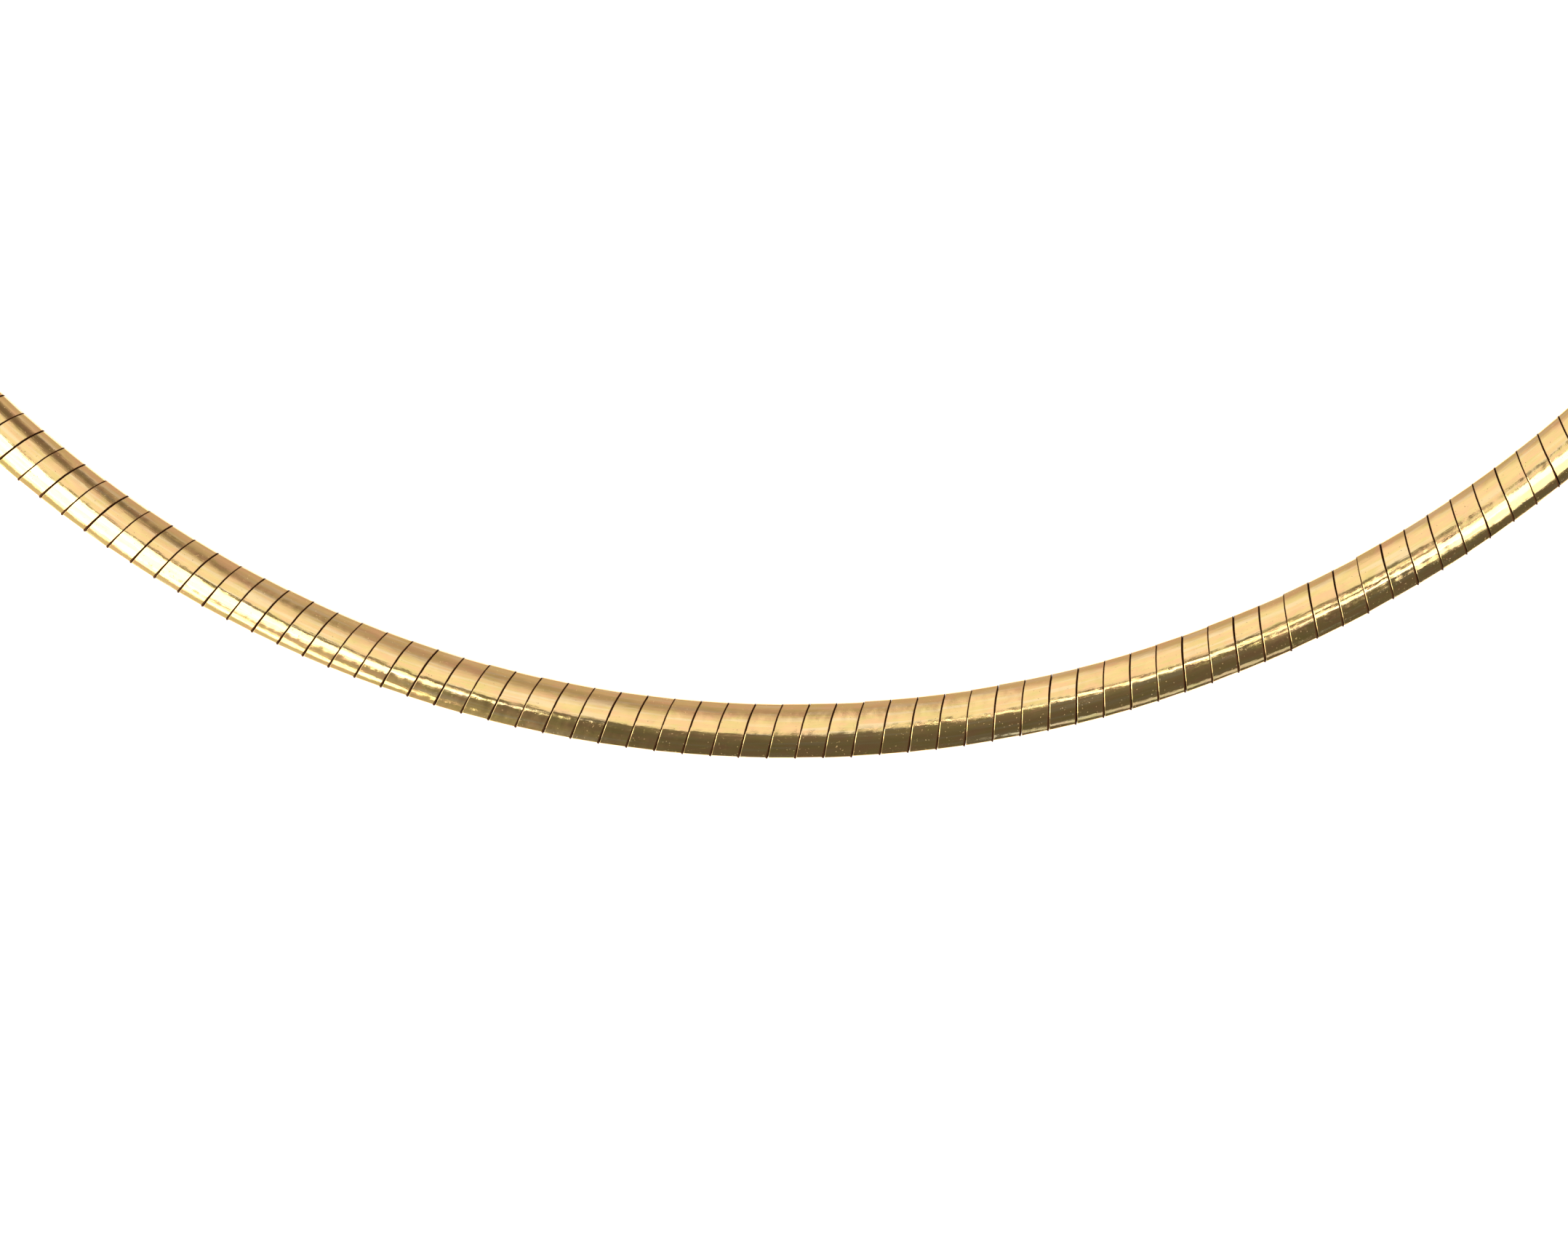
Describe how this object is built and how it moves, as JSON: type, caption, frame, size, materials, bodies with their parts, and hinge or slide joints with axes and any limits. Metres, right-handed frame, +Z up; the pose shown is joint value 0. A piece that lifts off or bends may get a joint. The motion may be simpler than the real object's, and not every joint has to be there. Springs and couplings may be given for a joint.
{
  "type": "omega necklace",
  "caption": "Flexible omega necklace: domed leaning plates side by side on a flat woven band, closed by a plain box clasp, lying flat as a closed loop.",
  "frame": {"origin": "the middle of the loop in plan, on the surface that the necklace lies on", "axes": "+Z up through the flat loop, out of the plates' domed side; -Y toward the front of the loop, +Y toward the clasp"},
  "size_m": [0.1341, 0.1308, 0.0013],
  "materials": {
    "polished_gold": "polished yellow gold with fine wear scratches and small pits",
    "woven_gold": "fine woven gold wire, satin",
    "clasp_gold": "polished yellow gold"
  },
  "bodies": {
    "root": {"plates_left": "polished_gold", "plates_right": "polished_gold", "mesh_band": "woven_gold", "clasp": "clasp_gold"}
  },
  "joints": []
}
